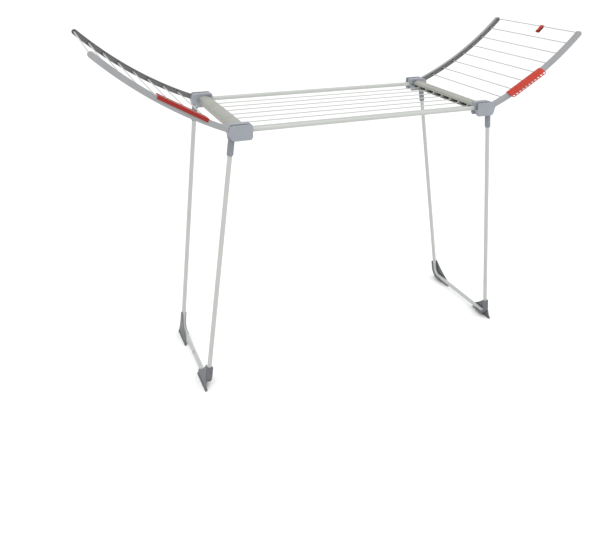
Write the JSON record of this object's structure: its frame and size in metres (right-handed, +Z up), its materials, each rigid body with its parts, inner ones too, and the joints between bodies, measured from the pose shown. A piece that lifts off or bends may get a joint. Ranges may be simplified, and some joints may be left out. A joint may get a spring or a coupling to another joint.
{
  "type": "folding clothes drying rack",
  "caption": "Free-standing folding drying rack: wired deck on folding U legs, with a curved hinged wing of wires at each end, clip-on combs and a wire lock clip.",
  "frame": {"origin": "on the floor under the middle of the deck", "axes": "+Z up, +X along the deck toward the wing that carries the lock clip, +Y toward the back, away from the side that carries the combs"},
  "size_m": [1.8386, 0.5794, 1.2488],
  "materials": {
    "white_metal": "smooth off-white powder coat on the tubes and wires",
    "grey_plastic": "satin moulded plastic, mid grey with a blue tint",
    "red_plastic": "satin moulded plastic, bright red",
    "pin_steel": "plain steel"
  },
  "bodies": {
    "deck": {"side_tube_front": "white_metal", "side_tube_back": "white_metal", "end_rail_left": "grey_plastic", "end_rail_right": "grey_plastic", "deck_wire_1": "white_metal", "deck_wire_2": "white_metal", "deck_wire_3": "white_metal", "deck_wire_4": "white_metal", "deck_wire_5": "white_metal", "deck_wire_6": "white_metal", "deck_wire_7": "white_metal", "housing_front_left": "grey_plastic", "housing_front_right": "grey_plastic", "housing_back_left": "grey_plastic", "housing_back_right": "grey_plastic", "housing_cover_front_left": "grey_plastic", "housing_cover_front_right": "grey_plastic", "housing_cover_back_left": "grey_plastic", "housing_cover_back_right": "grey_plastic", "wing_pins": "pin_steel", "leg_pins": "pin_steel"},
    "left_wing": {"wing_arm_front_left": "grey_plastic", "wing_arm_back_left": "grey_plastic", "wing_wire_left_1": "white_metal", "wing_wire_left_2": "white_metal", "wing_wire_left_3": "white_metal", "wing_wire_left_4": "white_metal", "wing_wire_left_5": "white_metal", "wing_wire_left_6": "white_metal", "wing_wire_left_7": "white_metal", "wing_wire_left_8": "white_metal"},
    "left_leg": {"leg_socket_front_left": "grey_plastic", "leg_socket_back_left": "grey_plastic", "leg_tube_left": "white_metal", "foot_front_left": "grey_plastic", "foot_back_left": "grey_plastic"},
    "right_wing": {"wing_arm_front_right": "grey_plastic", "wing_arm_back_right": "grey_plastic", "wing_wire_right_1": "white_metal", "wing_wire_right_2": "white_metal", "wing_wire_right_3": "white_metal", "wing_wire_right_4": "white_metal", "wing_wire_right_5": "white_metal", "wing_wire_right_6": "white_metal", "wing_wire_right_7": "white_metal", "wing_wire_right_8": "white_metal"},
    "right_leg": {"leg_socket_front_right": "grey_plastic", "leg_socket_back_right": "grey_plastic", "leg_tube_right": "white_metal", "foot_front_right": "grey_plastic", "foot_back_right": "grey_plastic"},
    "left_comb": {"comb_left": "red_plastic"},
    "right_comb": {"comb_right": "red_plastic"},
    "clip": {"lock_clip": "red_plastic"}
  },
  "joints": [
    {"name": "left_wing_fold", "type": "hinge", "parent": "deck", "child": "left_wing", "pos_m": [-0.503, 0, 0.975], "axis": [0, 1, 0], "range_deg": [0, 144.5]},
    {"name": "right_wing_fold", "type": "hinge", "parent": "deck", "child": "right_wing", "pos_m": [0.503, 0, 0.975], "axis": [0, -1, 0], "range_deg": [0, 146.2]},
    {"name": "left_leg_fold", "type": "hinge", "parent": "deck", "child": "left_leg", "pos_m": [-0.507, 0, 0.9485], "axis": [0, -1, 0], "range_deg": [0, 96.3]},
    {"name": "right_leg_fold", "type": "hinge", "parent": "deck", "child": "right_leg", "pos_m": [0.507, 0, 0.9485], "axis": [0, 1, 0], "range_deg": [0, 93.8]},
    {"name": "left_comb_slide", "type": "slide", "parent": "left_wing", "child": "left_comb", "axis": [0, -1, 0], "range_m": [0, 0.045]},
    {"name": "right_comb_slide", "type": "slide", "parent": "right_wing", "child": "right_comb", "axis": [0, -1, 0], "range_m": [0, 0.045]},
    {"name": "clip_turn", "type": "hinge", "parent": "right_wing", "child": "clip", "pos_m": [0.91249, -0.044, 1.24194], "axis": [0, -1, 0], "range_deg": [0, 180]}
  ]
}
